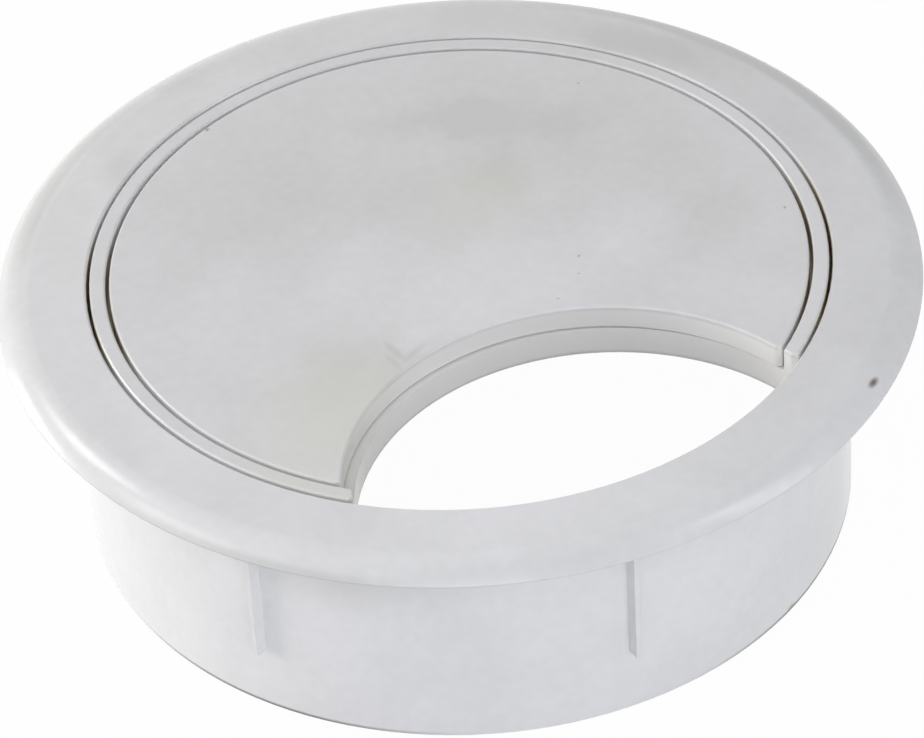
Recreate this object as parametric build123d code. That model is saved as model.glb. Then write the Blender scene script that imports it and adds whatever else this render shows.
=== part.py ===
"""Three-piece desk cable grommet: a flanged sleeve, a cover base and a rotating shutter.

Millimetres. The origin is on the hole's axis at the desk surface, +Z is up, and the cable
notch faces -Y.
"""
from build123d import *
import os

# Barrel of the sleeve
desk_hole_d = 60.0
barrel_clearance = 0.5      # play between the hole and the plain end of the barrel
barrel_depth = 20.0         # below the desk surface
barrel_wall = 1.3           # at the plain end
barrel_draft = 0.15         # the barrel is this much larger in radius under the flange
foot_bevel = 0.4            # lead-in at the barrel's end

# Flange of the sleeve
flange_overhang = 5.5       # past the barrel's plain end
flange_height = 1.6         # at the opening
flange_fall = 0.32          # the top face drops this much towards the lip
flange_edge = 0.1           # upright edge that meets the desk
lip_width = 2.4             # rounded band that runs from the top face down to the edge
opening_bevel = 0.15

# Crush ribs on the barrel, in pairs
rib_pairs = 3
rib_pair_spread = 55.6      # degrees between the two ribs of a pair
sleeve_turn = -27.1         # degrees that the first pair's middle lies off the notch's middle
rib_length = 14.0           # down from the desk surface
rib_rise_top = 1.0          # proud of the barrel at the flange
rib_rise_end = 0.95         # proud of the barrel at the lower end
rib_root_width = 0.9
rib_crest_width = 0.45
pilot_gap = 0.5             # from the ribs' ends to the barrel's plain end

# Ledge inside the sleeve, which carries the cover
ledge_width = 1.45
ledge_land = 0.8            # upright face of the ledge, above its sloping underside

# Cover base
cover_gap = 0.25            # groove between the sleeve and the cover's rim
cover_height = 4.7
rim_width = 1.2             # also the width of the skirt below the floor
floor_thickness = 1.5
boss_wall = 2.0             # round the pivot hole
notch_radius = 18.5
notch_inset = 1.15          # from the cover's edge in to the notch's centre
rim_bevel = 0.12
skirt_bevel = 0.35          # lower edge of the skirt and of the notch wall

# Rotating shutter
shutter_gap = 0.28          # groove between the rim and the shutter
shutter_thickness = 1.9
shutter_float = 0.15        # play above the floor, and below the boss
notch_step = 0.3            # the shutter's notch is cut back this much from the cover's
shutter_turn = -1.2         # degrees off the cover's notch, as it was left
shutter_round = 0.2
tip_round = 0.45            # upright corners where a notch meets the edge

# Snap pivot under the shutter
pivot_d = 6.8
pivot_clearance = 0.05
pivot_wall = 1.3
pivot_slot = 1.0
barb_reach = 0.4            # past the pivot hole's wall
barb_land = 0.4
barb_lead = 0.9             # height of the tapered tip
tip_taper = 0.45            # the tip ends this much inside the pivot's radius

# Radii, from the desk hole inwards
pilot_r = desk_hole_d / 2 - barrel_clearance
barrel_top_r = pilot_r + barrel_draft
flange_r = pilot_r + flange_overhang
opening_r = pilot_r - barrel_wall
ledge_r = opening_r - ledge_width
cover_r = opening_r - cover_gap
recess_r = cover_r - rim_width
shutter_r = recess_r - shutter_gap
notch_reach = cover_r - notch_inset
shutter_notch_r = notch_radius + notch_step
pivot_r = pivot_d / 2
pivot_hole_r = pivot_r + pivot_clearance
boss_r = pivot_hole_r + boss_wall
barb_r = pivot_hole_r + barb_reach

# Heights, from the top down
top_z = flange_height
shutter_z = top_z - shutter_thickness
floor_z = shutter_z - shutter_float
cover_z = top_z - cover_height
barb_z = cover_z - shutter_float
pilot_z = -rib_length - pilot_gap
foot_z = -barrel_depth


def corners(sketch, *points):
    """The sketch's vertices nearest to the given points."""
    return [sketch.vertices().sort_by_distance(point)[0] for point in points]


def crush_rib():
    """One rib along +X: a tapered bar, buried in the barrel wall and shallower at its lower end."""
    buried_r = pilot_r - barrel_wall / 2
    with BuildPart() as rib:
        for z, crest_r in (0, barrel_top_r + rib_rise_top), (-rib_length, pilot_r + rib_rise_end):
            with BuildSketch(Plane.XY.offset(z)):
                Polygon(
                    (buried_r, -rib_root_width / 2),
                    (crest_r, -rib_crest_width / 2),
                    (crest_r, rib_crest_width / 2),
                    (buried_r, rib_root_width / 2),
                    align=None,
                )
        loft(ruled=True)
    return rib.part


def rib_headings():
    """Directions of the ribs, in degrees from +X."""
    for pair in range(rib_pairs):
        middle = -90 + sleeve_turn + pair * 360 / rib_pairs
        yield middle - rib_pair_spread / 2
        yield middle + rib_pair_spread / 2


def flanged_sleeve():
    """Flange, barrel and ledge as one turned section, with the crush ribs on the barrel."""
    opening_edge = (opening_r, top_z)
    lip_start = (flange_r - lip_width, top_z - flange_fall)
    lip_end = (flange_r, flange_edge)
    fall = (flange_r - lip_width - opening_r, -flange_fall)
    foot_outer = (pilot_r, foot_z)
    with BuildPart() as sleeve:
        with BuildSketch(Plane.XZ) as section:
            with BuildLine():
                TangentArc(lip_start, lip_end, tangent=fall)
                Polyline(
                    lip_end,
                    (flange_r, 0),
                    (barrel_top_r, 0),
                    (pilot_r, pilot_z),
                    foot_outer,
                    (opening_r, foot_z),
                    (opening_r, cover_z - ledge_land - ledge_width),
                    (ledge_r, cover_z - ledge_land),
                    (ledge_r, cover_z),
                    (opening_r, cover_z),
                    opening_edge,
                    lip_start,
                )
            make_face()
            chamfer(corners(section, opening_edge), opening_bevel)
            chamfer(corners(section, foot_outer), foot_bevel)
        revolve(axis=Axis.Z)
        rib = crush_rib()
        for heading in rib_headings():
            add(rib.rotate(Axis.Z, heading))
    return sleeve.part


def notched_disc(radius, notch_r):
    """Outline of a disc with the cable notch cut from its -Y side, tips rounded."""
    with BuildSketch() as outline:
        Circle(radius)
        with Locations((0, -notch_reach)):
            Circle(notch_r, mode=Mode.SUBTRACT)
        tips = outline.vertices().sort_by(Axis.Y)[:2]
        fillet(tips, tip_round)
    return outline.sketch


def cover_base():
    """Rim, recessed floor and skirt, cut through by the notch and cored out underneath."""
    with BuildPart() as cover:
        with BuildSketch(Plane.XY.offset(cover_z)):
            add(notched_disc(cover_r, notch_radius))
        extrude(amount=cover_height)
        with BuildSketch(Plane.XY.offset(floor_z)):
            Circle(recess_r)
        extrude(amount=top_z - floor_z, mode=Mode.SUBTRACT)
        with BuildSketch(Plane.XY.offset(cover_z)):
            Circle(recess_r)
            with Locations((0, -notch_reach)):
                Circle(notch_radius + rim_width, mode=Mode.SUBTRACT)
            Circle(boss_r, mode=Mode.SUBTRACT)
        extrude(amount=floor_z - floor_thickness - cover_z, mode=Mode.SUBTRACT)
        foot = cover.faces().filter_by(Plane.XY).group_by(Axis.Z)[0].sort_by(SortBy.AREA)[-1]
        chamfer(foot.outer_wire().edges(), skirt_bevel)
        rim = cover.faces().filter_by(Plane.XY).sort_by(Axis.Z)[-1]
        chamfer(rim.edges(), rim_bevel)
        with Locations((0, 0, floor_z)):
            Hole(pivot_hole_r)
    return cover.part


def snap_pivot():
    """Hollow stem with a barbed tip, slit crosswise into four springy prongs."""
    tip_z = barb_z - barb_land - barb_lead
    bore_r = pivot_r - pivot_wall
    with BuildPart() as pivot:
        with BuildSketch(Plane.XZ):
            with BuildLine():
                Polyline(
                    (bore_r, shutter_z),
                    (pivot_r, shutter_z),
                    (pivot_r, barb_z),
                    (barb_r, barb_z),
                    (barb_r, barb_z - barb_land),
                    (pivot_r - tip_taper, tip_z),
                    (bore_r, tip_z),
                    close=True,
                )
            make_face()
        revolve(axis=Axis.Z)
        with Locations((0, 0, (shutter_z + tip_z) / 2)):
            Box(2 * barb_r, pivot_slot, shutter_z - tip_z, mode=Mode.SUBTRACT)
            Box(pivot_slot, 2 * barb_r, shutter_z - tip_z, mode=Mode.SUBTRACT)
    return pivot.part


def rotating_shutter():
    """Notched disc, flush with the rim, on its snap pivot."""
    with BuildPart() as shutter:
        with BuildSketch(Plane.XY.offset(shutter_z)):
            add(notched_disc(shutter_r, shutter_notch_r))
        extrude(amount=shutter_thickness)
        top = shutter.faces().sort_by(Axis.Z)[-1]
        fillet(top.edges(), shutter_round)
        add(snap_pivot())
    return shutter.part.rotate(Axis.Z, shutter_turn)


os.makedirs("parts", exist_ok=True)
for piece in flanged_sleeve, cover_base, rotating_shutter:
    export_step(piece(), f"parts/{piece.__name__}.step")
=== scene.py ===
"""Looks of a desk cable grommet: satin white moulded plastic, a little soiled, on a white studio floor."""

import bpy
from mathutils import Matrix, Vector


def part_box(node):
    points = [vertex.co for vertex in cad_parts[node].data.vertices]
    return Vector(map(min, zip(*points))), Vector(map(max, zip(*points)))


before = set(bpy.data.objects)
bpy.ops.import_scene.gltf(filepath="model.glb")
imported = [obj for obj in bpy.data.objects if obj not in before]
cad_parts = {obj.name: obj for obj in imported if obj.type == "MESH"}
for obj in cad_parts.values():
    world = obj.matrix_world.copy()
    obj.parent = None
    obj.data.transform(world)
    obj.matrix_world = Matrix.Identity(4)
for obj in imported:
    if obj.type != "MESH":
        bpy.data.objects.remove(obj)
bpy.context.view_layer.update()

import math

import bpy
from mathutils import Matrix, Vector

MM = 0.001

# The frame's own sizes: heights in metres, radii in mm
TOP_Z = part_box("rotating_shutter")[1].z
FLOOR_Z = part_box("flanged_sleeve")[0].z
FLANGE_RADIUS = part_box("flanged_sleeve")[1].x / MM
COVER_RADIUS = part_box("cover_base")[1].y / MM

# The photograph's view: turned from the notch's heading, and looking down
PHOTO_WIDTH = 924
VIEW_TURN = math.radians(-21.6)
VIEW_ELEVATION = math.radians(39.98)
VIEW_ROLL = math.radians(3.411)
VIEW_DISTANCE = 462.3 * MM
VIEW_RIGHT = -0.22 * MM
VIEW_UP = -8.11 * MM
FOCAL_PIXELS = 6122.6
SENSOR_WIDTH = 36.0
CLIP_SPAN = 100             # the camera sees from its distance divided by this to its distance times this

# Studio: soft panels with heading on the viewer's compass (0 is right, 90 far, 180 left, 270 near) and
# rise in degrees, width and height in metres, power in watts, colour
LAMP_DISTANCE = 0.6
LAMPS = (
    ("window", 166, 10, 0.40, 0.26, 2.18, (1.0, 0.97, 0.91)),
    ("high_window", 147, 45, 0.14, 0.14, 0.44, (1.0, 1.0, 1.0)),
    ("left_window", 188, 40, 0.24, 0.24, 0.42, (0.98, 0.98, 1.0)),
    ("ceiling", 90, 75, 0.50, 0.50, 0.34, (0.98, 0.98, 1.0)),
    ("front_fill", 268, 37, 0.26, 0.26, 0.58, (0.90, 0.92, 1.0)),
    ("right_fill", 298, 12, 0.40, 0.26, 0.95, (0.97, 0.98, 1.0)),
    ("right_window", 347, 42, 0.12, 0.34, 0.44, (0.96, 0.97, 1.0)),
)
ROOM_LIGHT = 0.25
FLOOR_HALF = 3.0            # half the floor's width, in metres
FLOOR_DROP = 0.02 * MM      # keeps the floor clear of the barrel's lower face
FLOOR_WHITE = 0.8
FLOOR_GLOW = 0.975          # share of plain white where the floor is seen; the rest takes the shadow

# Plastic: clean, grey with soil and painted shade, yellowed, and painted paler inside the opening as painted
# light on its shaded walls and grooves. Then the dirt, the painted shade at lower edges and the specks
CLEAN_WHITE = (0.830, 0.831, 0.850, 1)
# Grey of soil, also used for painted shade
SOILED_AND_SHADED_WHITE = (0.648, 0.649, 0.644, 1)
YELLOWED = (0.710, 0.705, 0.630, 1)
# Painted light: paler than clean plastic, lifting the shaded walls and grooves inside the opening
PAINTED_LIGHT_INSIDE = (0.895, 0.892, 0.885, 1)
GROOVE_DIRT = (0.500, 0.390, 0.200, 1)
# Painted shade: near-black grey along the barrel's foot and the cover's lower edge
PAINTED_SHADE_GREY = (0.200, 0.190, 0.180, 1)
SPECK_BROWN = (0.170, 0.140, 0.110, 1)
FOOT_BROWN = (0.300, 0.170, 0.070, 1)

# Soil that lies all over a piece, 0 to 1, with clouds and a finer mottle. Each noise has its fineness
# per mm, its detail and the span of its values that is used
PLAIN_SOIL = {"flanged_sleeve": 0.38, "cover_base": 0.43, "rotating_shutter": 0.51}
CLOUD_PER_MM = 0.16
CLOUD_DETAIL = 4
CLOUD_SPAN = (0.25, 0.75)
CLOUD_SOIL = 0.10
MOTTLE_PER_MM = 1.1
MOTTLE_DETAIL = 2
MOTTLE_SPAN = (0.2, 0.8)
MOTTLE_SOIL = 0.08
BARREL_CLEANER = 0.25       # less soil below the flange
SKIRT_SHADE = 0.5            # share of painted shade on the cover's lower edge

# Finish: soil dulls the plastic, a fine grain roughens it, and edges shade as if slightly rounded
CLEAN_ROUGHNESS = 0.19
SOILED_ROUGHNESS = 0.265
GRAIN_PER_MM = 2.6
GRAIN_DETAIL = 1
GRAIN_HEIGHT = 0.02 * MM
GRAIN_STRENGTH = 0.12
EDGE_ROUND = 0.10 * MM
EDGE_SAMPLES = 4

# Zones in mm, each from where it starts to where it is full: radii, depths below the top face and
# heights above the barrel's foot
LIP_INNER_RADII = (FLANGE_RADIUS - 2.4, FLANGE_RADIUS - 1.6)
LIP_OUTER_RADII = (FLANGE_RADIUS - 0.3, FLANGE_RADIUS - 1.0)
EDGE_RADII = (FLANGE_RADIUS - 1.5, FLANGE_RADIUS - 0.5)
EDGE_DEPTHS = (0.9, 1.5)
UNDER_FLANGE_DEPTHS = (1.6, 1.8)
BARREL_DEPTHS = (1.7, 2.2)
OPENING_RADII = (COVER_RADIUS + 0.65, COVER_RADIUS + 0.45)
OPENING_DEPTHS = (0.1, 0.5)
GROOVE_RADII = (COVER_RADIUS - 2.05, COVER_RADIUS - 1.75)
GROOVE_DEPTHS = (2.8, 1.6)
MOUTH_DEPTHS = (0, 0.25)
SKIRT_DEPTHS = (4.0, 4.5)
FOOT_HEIGHTS = (0.75, 0.45)

# How far the ragged marks stray from their ovals, in mm, and how often
STRAY = 1.5
STRAY_PER_MM = 0.35
STRAY_DETAIL = 3

# Marks on each piece: middle x and y, half length and half width in mm, heading in degrees, strength
SMUDGES_AND_SHADE = {
    "flanged_sleeve": (
        (23.2, 18.6, 8.0, 4.5, -52, 0.62),
        (27.5, 16.0, 8.0, 4.5, -60, 0.40),
        (29.5, 6.0, 16.0, 6.0, 90, 0.30),
        (17.0, 26.0, 11.0, 5.0, -35, 0.25),
        (-18.5, 22.5, 3.5, 2.5, 50, 0.33),
        (-10.0, 31.0, 5.0, 2.5, 15, 0.30),
        (26.5, -18.0, 9.0, 5.0, 55, 0.20),
        # Painted shade: this wide oval darkens the far half of the flange
        (0.0, 31.0, 34.0, 16.0, 0, 0.16),
    ),
    "cover_base": (
        (20.0, 18.0, 16.0, 8.0, -50, 0.25),
        # Painted shade: this wide oval darkens the far half of the cover
        (0.0, 27.0, 30.0, 16.0, 0, 0.16),
    ),
    "rotating_shutter": (
        # Painted shade: this wide oval darkens the far half of the shutter
        (0.0, 16.0, 30.0, 17.0, 0, 0.13),
        (9.5, 14.5, 7.0, 4.0, -25, 0.32),
        (5.5, 17.0, 7.0, 3.5, -15, 0.30),
        (7.0, 8.6, 5.5, 4.0, 70, 0.34),
        (15.5, 12.0, 5.5, 3.5, 0, 0.18),
        (17.0, 8.0, 20.0, 13.0, 90, 0.20),
        (-12.0, 15.0, 9.0, 7.0, -20, 0.12),
        (-4.0, 10.5, 14.0, 6.0, 0, 0.13),
        (-12.5, -8.0, 7.0, 4.5, 15, 0.22),
        (-9.8, -10.0, 3.5, 2.2, 35, 0.20),
        (20.0, -4.0, 6.0, 5.0, 0, 0.12),
    ),
}
WIPED_AND_LIT = {
    "flanged_sleeve": (
        # Painted light: this wide oval brightens the flange's near side
        (-6.0, -29.5, 22.0, 6.5, 0, 0.27),
        (-26.0, -8.0, 10.0, 5.0, 100, 0.22),
        (-13.0, -26.0, 7.0, 4.0, -25, 0.16),
    ),
    "cover_base": (
        # Painted light: this wide oval brightens the near half of the cover
        (0.0, -20.0, 34.0, 14.0, 0, 0.14),
    ),
    "rotating_shutter": (
        (2.0, -4.5, 14.0, 7.5, -5, 0.34),
        (-18.0, -16.0, 8.0, 6.0, -60, 0.28),
        (17.5, -13.0, 9.0, 5.0, -55, 0.18),
        (-24.5, -7.5, 5.0, 3.0, 100, 0.20),
        (-6.5, -6.5, 3.0, 2.0, 20, 0.20),
        (-7.0, 3.0, 7.0, 4.5, 30, 0.22),
        (-18.0, 0.0, 14.0, 8.0, 0, 0.16),
        (13.0, -2.0, 7.0, 6.0, 0, 0.24),
    ),
}
YELLOW_PATCHES = {
    "cover_base": (
        (-18.0, -16.0, 12.0, 8.0, 50, 0.50),
    ),
    "rotating_shutter": (
        (-15.5, -12.5, 13.0, 8.0, 50, 0.50),
        (4.5, 6.5, 8.0, 6.0, 30, 0.36),
    ),
}
SCUFFS = {
    "rotating_shutter": (
        (-8.5, -7.4, 1.9, 0.5, -80, 0.55),
        (-9.1, -8.6, 1.6, 0.4, -80, 0.45),
        (-7.2, -8.3, 1.8, 0.5, 30, 0.45),
    ),
}
SPECKS = {
    "flanged_sleeve": (
        (21.9, -26.0, 0.95, 0.36, 36, 1.0),
    ),
    "rotating_shutter": (
        (17.3, 16.0, 0.20, 0.14, 0, 0.4),
        (8.4, -3.5, 0.22, 0.16, 20, 0.5),
        (7.5, -5.4, 0.16, 0.14, 0, 0.4),
        (4.9, -7.4, 0.16, 0.14, 0, 0.4),
        (24.8, -5.3, 0.24, 0.16, 60, 0.5),
        (-10.9, 23.8, 0.30, 0.20, 20, 0.7),
    ),
}
FOOT_SPECKS = (
    (15.3, -25.2, 0.9, 0.9, 0, 0.8),
)

# Stretches, in the same form: dirt in the grooves, painted shade on the flange's lip band and lower edge and
# round the barrel's foot, and the painted shadow on the barrel under the flange with its height
GROOVE_STRETCHES = (
    (-25.8, 7.9, 10.0, 5.0, 73, 0.9),
    (24.7, -11.0, 14.0, 5.0, 66, 0.9),
)
# Painted shade on the lip band where it faces away from the light
LIP_BAND_SHADE = (
    (31.5, 12.0, 26.0, 16.0, 110, 1.0),
    (-24.0, 24.0, 20.0, 14.0, 45, 0.6),
)
# Painted shade on the lip's lower edge
LIP_EDGE_SHADE = (
    (-27.0, -20.0, 20.0, 14.0, -54, 1.0),
)
# Painted shade along the barrel's foot
FOOT_SHADE_STRETCHES = (
    (-24.0, -17.5, 18.0, 12.0, -54, 1.0),
    (19.0, -22.0, 20.0, 12.0, 49, 1.0),
)
# Painted shadow cast by the flange on the barrel
UNDER_FLANGE_SHADOW = (
    (-19.7, -22.1, 14.0, 9.0, -41, 0.60),
)
UNDER_FLANGE_SHADOW_Z = -2.0 * MM

# The inner share of an oval that has its full strength, and how far marks reach up and down, in mm
OVAL_CORE = 0.15
MARK_DEPTH = 1.0
SPECK_DEPTH = 4.0
FOOT_SPECK_DEPTH = 1.2
STRETCH_DEPTH = 8.0


def from_viewer(right, near, up):
    """A direction or place given as the viewer sees it: to the right, towards the viewer, upwards."""
    across = Vector((math.cos(VIEW_TURN), math.sin(VIEW_TURN), 0))
    towards = Vector((math.sin(VIEW_TURN), -math.cos(VIEW_TURN), 0))
    return right * across + near * towards + Vector((0, 0, up))


def add_camera():
    """The camera at the photograph's place, with its roll."""
    back = from_viewer(0, math.cos(VIEW_ELEVATION), math.sin(VIEW_ELEVATION))
    right = from_viewer(1, 0, 0)
    up = back.cross(right)
    place = Vector((0, 0, TOP_Z)) + back * VIEW_DISTANCE + right * VIEW_RIGHT + up * VIEW_UP
    turned_right = math.cos(VIEW_ROLL) * right - math.sin(VIEW_ROLL) * up
    turned_up = math.sin(VIEW_ROLL) * right + math.cos(VIEW_ROLL) * up
    data = bpy.data.cameras.new("photo_camera")
    data.sensor_width = SENSOR_WIDTH
    data.lens = FOCAL_PIXELS * SENSOR_WIDTH / PHOTO_WIDTH
    data.clip_start = VIEW_DISTANCE / CLIP_SPAN
    data.clip_end = VIEW_DISTANCE * CLIP_SPAN
    camera = bpy.data.objects.new("photo_camera", data)
    rotation = Matrix((turned_right, turned_up, back)).transposed().to_4x4()
    camera.matrix_world = Matrix.Translation(place) @ rotation
    bpy.context.scene.collection.objects.link(camera)
    bpy.context.scene.camera = camera


def add_lamp(name, heading, rise, width, height, power, colour):
    """A soft panel round the grommet, facing it."""
    data = bpy.data.lights.new(name, "AREA")
    data.shape = "RECTANGLE"
    data.size = width
    data.size_y = height
    data.energy = power
    data.color = colour
    lamp = bpy.data.objects.new(name, data)
    heading = math.radians(heading)
    rise = math.radians(rise)
    level = LAMP_DISTANCE * math.cos(rise)
    place = from_viewer(level * math.cos(heading), -level * math.sin(heading), LAMP_DISTANCE * math.sin(rise))
    lamp.location = place
    lamp.rotation_mode = "QUATERNION"
    lamp.rotation_quaternion = (-place).to_track_quat("-Z", "Y")
    bpy.context.scene.collection.objects.link(lamp)


def make(tree, kind, inputs, **settings):
    """A node with its settings; each input is a value or the output that feeds it."""
    node = tree.nodes.new("ShaderNode" + kind)
    for name, value in settings.items():
        setattr(node, name, value)
    for slot, value in inputs.items():
        if isinstance(value, bpy.types.NodeSocket):
            tree.links.new(value, node.inputs[slot])
        else:
            node.inputs[slot].default_value = value
    return node


def calc(tree, operation, *values):
    """One step of arithmetic."""
    return make(tree, "Math", dict(enumerate(values)), operation=operation).outputs[0]


def fade(tree, value, start, end, low=0.0, high=1.0):
    """A smooth step from low to high while the value goes from start to end."""
    limits = {"Value": value, "From Min": start, "From Max": end, "To Min": low, "To Max": high}
    return make(tree, "MapRange", limits, interpolation_type="SMOOTHSTEP").outputs["Result"]


def blend(tree, share, first, second):
    """A colour that goes from the first to the second with the share."""
    mix = tree.nodes.new("ShaderNodeMix")
    mix.data_type = "RGBA"
    for name, value in ("Factor_Float", share), ("A_Color", first), ("B_Color", second):
        socket = next(slot for slot in mix.inputs if slot.identifier == name)
        if isinstance(value, bpy.types.NodeSocket):
            tree.links.new(value, socket)
        else:
            socket.default_value = value
    return next(slot for slot in mix.outputs if slot.identifier == "Result_Color")


def noise(tree, place, per_mm, detail):
    """Cloudy noise round 0.5."""
    return make(tree, "TexNoise", {"Vector": place, "Scale": per_mm, "Detail": detail}).outputs["Fac"]


def overlap(tree, first, second):
    """The share that two shares have in common, as their product."""
    return calc(tree, "MULTIPLY", first, second)


def ovals(tree, place, marks, depth=MARK_DEPTH, level=TOP_Z):
    """The strengths of soft ovals, added up; they lie at a level and end a depth in mm above and below it."""
    amounts = []
    for x, y, length, width, heading, strength in marks:
        local = make(tree, "Mapping", {
            "Vector": place,
            "Location": (x, y, level / MM),
            "Rotation": (0, 0, math.radians(heading)),
            "Scale": (length, width, depth),
        }, vector_type="TEXTURE").outputs[0]
        reach = make(tree, "VectorMath", {0: local}, operation="LENGTH").outputs["Value"]
        amounts.append(fade(tree, reach, 1, OVAL_CORE, 0, strength))
    total = amounts[0]
    for amount in amounts[1:]:
        total = calc(tree, "ADD", total, amount)
    return total


class Spot:
    """Where a shaded point lies on its piece, in mm, as node outputs."""

    def __init__(self, tree):
        in_metres = tree.nodes.new("ShaderNodeTexCoord").outputs["Object"]
        scaled = make(tree, "VectorMath", {0: in_metres, "Scale": 1 / MM}, operation="SCALE")
        self.place = scaled.outputs["Vector"]
        z = make(tree, "SeparateXYZ", {0: self.place}).outputs["Z"]
        self.depth = calc(tree, "SUBTRACT", TOP_Z / MM, z)
        self.height = calc(tree, "SUBTRACT", z, FLOOR_Z / MM)
        flat = make(tree, "VectorMath", {0: self.place, 1: (1, 1, 0)}, operation="MULTIPLY").outputs[0]
        self.radius = make(tree, "VectorMath", {0: flat}, operation="LENGTH").outputs["Value"]
        self.ragged = self.strayed(tree)

    def strayed(self, tree):
        """The place shifted sideways by noise, which gives marks a ragged outline."""
        drift = make(tree, "TexNoise", {"Vector": self.place, "Scale": STRAY_PER_MM, "Detail": STRAY_DETAIL})
        sideways = {0: drift.outputs["Color"], 1: (2 * STRAY, 2 * STRAY, 0), 2: self.place}
        shifted = make(tree, "VectorMath", sideways, operation="MULTIPLY_ADD").outputs[0]
        centred = {0: shifted, 1: (-STRAY, -STRAY, 0)}
        return make(tree, "VectorMath", centred, operation="ADD").outputs[0]


def sleeve_soil_and_shade(tree, spot, soil_and_shade):
    """The sleeve's soil, with painted shade on the lip band and the lip's lower edge, less soil on the
    barrel, and a painted shadow on the barrel under the flange.
    """
    edge = overlap(tree, fade(tree, spot.radius, *EDGE_RADII), fade(tree, spot.depth, *EDGE_DEPTHS))
    # Painted shade on the lip's lower edge
    edge_shade = overlap(tree, edge, ovals(tree, spot.place, LIP_EDGE_SHADE, STRETCH_DEPTH))
    lip = overlap(tree, fade(tree, spot.radius, *LIP_INNER_RADII), fade(tree, spot.radius, *LIP_OUTER_RADII))
    # Painted shade on the lip band
    lip_shade = overlap(tree, lip, ovals(tree, spot.place, LIP_BAND_SHADE, STRETCH_DEPTH))
    below = fade(tree, spot.depth, *UNDER_FLANGE_DEPTHS)
    # Painted shadow on the barrel under the flange
    flange_shadow = ovals(tree, spot.ragged, UNDER_FLANGE_SHADOW, STRETCH_DEPTH, UNDER_FLANGE_SHADOW_Z)
    for more in edge_shade, lip_shade, overlap(tree, below, flange_shadow):
        soil_and_shade = calc(tree, "ADD", soil_and_shade, more)
    return calc(tree, "SUBTRACT", soil_and_shade, fade(tree, spot.depth, *BARREL_DEPTHS, 0, BARREL_CLEANER))


def soil_and_shade_on(tree, name, spot):
    """How soiled a piece is, 0 to 1, with painted shade added and painted light taken off in places."""
    plain = PLAIN_SOIL[name]
    cloud = noise(tree, spot.place, CLOUD_PER_MM, CLOUD_DETAIL)
    mottle = noise(tree, spot.place, MOTTLE_PER_MM, MOTTLE_DETAIL)
    soil_and_shade = fade(tree, cloud, *CLOUD_SPAN, plain - CLOUD_SOIL, plain + CLOUD_SOIL)
    soil_and_shade = calc(tree, "ADD", soil_and_shade, fade(tree, mottle, *MOTTLE_SPAN, -MOTTLE_SOIL, MOTTLE_SOIL))
    # Smudges, with wide ovals of painted shade over the far half
    soil_and_shade = calc(tree, "ADD", soil_and_shade, ovals(tree, spot.ragged, SMUDGES_AND_SHADE[name]))
    # Wiped places, with wide ovals of painted light over the near side
    soil_and_shade = calc(tree, "SUBTRACT", soil_and_shade, ovals(tree, spot.ragged, WIPED_AND_LIT[name]))
    if name in SCUFFS:
        soil_and_shade = calc(tree, "ADD", soil_and_shade, ovals(tree, spot.place, SCUFFS[name]))
    if name == "flanged_sleeve":
        soil_and_shade = sleeve_soil_and_shade(tree, spot, soil_and_shade)
    return make(tree, "Clamp", {"Value": soil_and_shade}).outputs[0]


def foot_colour(tree, spot, colour):
    """The sleeve's colour with painted shade along the barrel's foot and the brown speck there."""
    foot = fade(tree, spot.height, *FOOT_HEIGHTS)
    # Painted shade along the barrel's foot
    foot_shade = overlap(tree, foot, ovals(tree, spot.ragged, FOOT_SHADE_STRETCHES, STRETCH_DEPTH, FLOOR_Z))
    colour = blend(tree, foot_shade, colour, PAINTED_SHADE_GREY)
    return blend(tree, ovals(tree, spot.place, FOOT_SPECKS, FOOT_SPECK_DEPTH, FLOOR_Z), colour, FOOT_BROWN)


def colour_of(tree, name, spot, soil_and_shade):
    """White that greys with soil and painted shade, painted paler inside the opening as painted light, with
    yellowed patches, groove dirt, painted shade at lower edges, and specks.
    """
    colour = blend(tree, soil_and_shade, CLEAN_WHITE, SOILED_AND_SHADED_WHITE)
    opening = fade(tree, spot.radius, *OPENING_RADII)
    painted_light_share = overlap(tree, fade(tree, spot.depth, *OPENING_DEPTHS), opening)
    # Painted light: the walls and grooves inside the opening are painted paler
    colour = blend(tree, painted_light_share, colour, PAINTED_LIGHT_INSIDE)
    if name in YELLOW_PATCHES:
        yellow = ovals(tree, spot.ragged, YELLOW_PATCHES[name], STRETCH_DEPTH)
        colour = blend(tree, yellow, colour, YELLOWED)
    groove = overlap(tree, fade(tree, spot.radius, *GROOVE_RADII), fade(tree, spot.depth, *GROOVE_DEPTHS))
    lodged = overlap(tree, groove, ovals(tree, spot.ragged, GROOVE_STRETCHES, STRETCH_DEPTH))
    mouth = overlap(tree, fade(tree, spot.depth, *MOUTH_DEPTHS), opening)
    colour = blend(tree, overlap(tree, mouth, lodged), colour, GROOVE_DIRT)
    if name == "flanged_sleeve":
        colour = foot_colour(tree, spot, colour)
    if name == "cover_base":
        # Painted shade along the cover's lower edge
        colour = blend(tree, fade(tree, spot.depth, *SKIRT_DEPTHS, 0, SKIRT_SHADE), colour, PAINTED_SHADE_GREY)
    if name in SPECKS:
        colour = blend(tree, ovals(tree, spot.place, SPECKS[name], SPECK_DEPTH), colour, SPECK_BROWN)
    return colour


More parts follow.
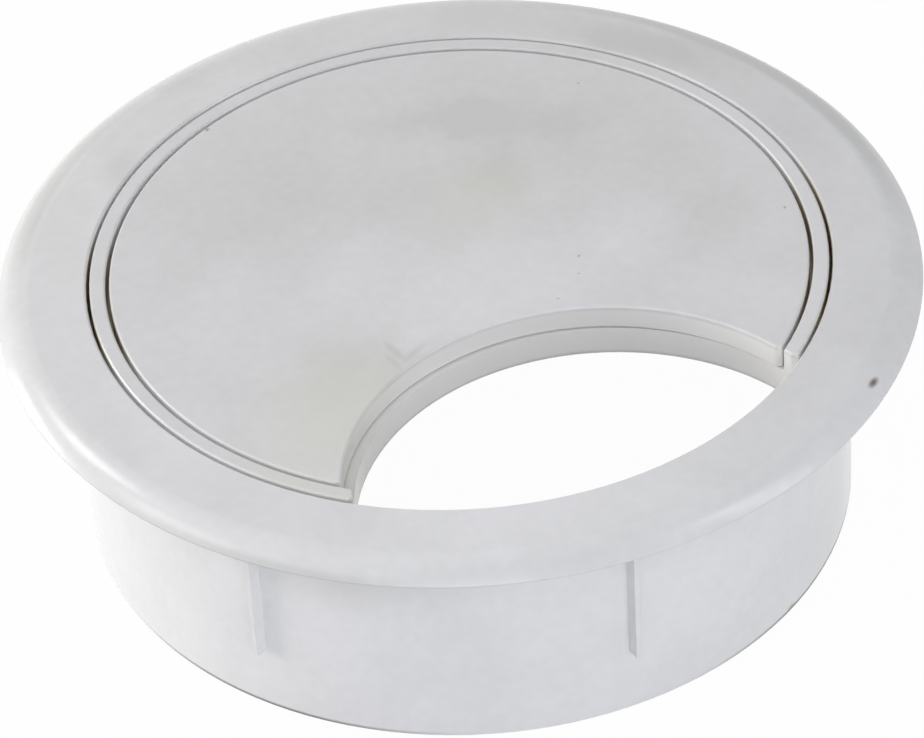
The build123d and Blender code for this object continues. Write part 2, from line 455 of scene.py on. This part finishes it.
def plastic(name):
    """Satin white plastic, cloudy with handling, with soil in smudges, dirt down in the grooves, and painted
    shade and painted light in places.
    """
    material = bpy.data.materials.new(name)
    material.use_nodes = True
    tree = material.node_tree
    shader = tree.nodes["Principled BSDF"]
    spot = Spot(tree)
    soil_and_shade = soil_and_shade_on(tree, name, spot)
    tree.links.new(colour_of(tree, name, spot, soil_and_shade), shader.inputs["Base Color"])
    roughness = fade(tree, soil_and_shade, 0, 1, CLEAN_ROUGHNESS, SOILED_ROUGHNESS)
    tree.links.new(roughness, shader.inputs["Roughness"])
    bump = make(tree, "Bump", {
        "Height": noise(tree, spot.place, GRAIN_PER_MM, GRAIN_DETAIL),
        "Strength": GRAIN_STRENGTH,
        "Distance": GRAIN_HEIGHT,
        "Normal": make(tree, "Bevel", {"Radius": EDGE_ROUND}, samples=EDGE_SAMPLES).outputs[0],
    })
    tree.links.new(bump.outputs["Normal"], shader.inputs["Normal"])
    return material


def seen_directly(tree):
    """1 for the rays that show the studio itself: straight from the camera, mirrored or seen through."""
    path = tree.nodes.new("ShaderNodeLightPath").outputs
    either = calc(tree, "MAXIMUM", path["Is Camera Ray"], path["Is Glossy Ray"])
    return calc(tree, "MAXIMUM", either, path["Is Transmission Ray"])


def floor_material():
    """White where it is seen, with a trace of shadow, and matt white for the light it throws back."""
    material = bpy.data.materials.new("studio_floor")
    material.use_nodes = True
    tree = material.node_tree
    tree.nodes.clear()
    matt = make(tree, "BsdfDiffuse", {"Color": (FLOOR_WHITE, FLOOR_WHITE, FLOOR_WHITE, 1)}).outputs[0]
    glow = tree.nodes.new("ShaderNodeEmission").outputs[0]
    share = calc(tree, "MULTIPLY", seen_directly(tree), FLOOR_GLOW)
    mix = make(tree, "MixShader", {0: share, 1: matt, 2: glow}).outputs[0]
    make(tree, "OutputMaterial", {"Surface": mix})
    return material


def add_floor():
    """A white floor that still takes the grommet's shadow."""
    level = FLOOR_Z - FLOOR_DROP
    corners = [(FLOOR_HALF * x, FLOOR_HALF * y, level) for x, y in ((-1, -1), (1, -1), (1, 1), (-1, 1))]
    mesh = bpy.data.meshes.new("studio_floor")
    mesh.from_pydata(corners, [], [(0, 1, 2, 3)])
    mesh.materials.append(floor_material())
    floor = bpy.data.objects.new("studio_floor", mesh)
    bpy.context.scene.collection.objects.link(floor)


def add_world():
    """Even room light, white where it is seen."""
    world = bpy.data.worlds.new("studio_room")
    bpy.context.scene.world = world
    world.use_nodes = True
    tree = world.node_tree
    strength = fade(tree, seen_directly(tree), 0, 1, ROOM_LIGHT, 1)
    background = tree.nodes["Background"]
    background.inputs["Color"].default_value = (1, 1, 1, 1)
    tree.links.new(strength, background.inputs["Strength"])


for name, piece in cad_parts.items():
    piece.material_slots[0].material = plastic(name)
add_camera()
add_floor()
add_world()
for lamp in LAMPS:
    add_lamp(*lamp)
bpy.context.scene.view_settings.view_transform = "Standard"
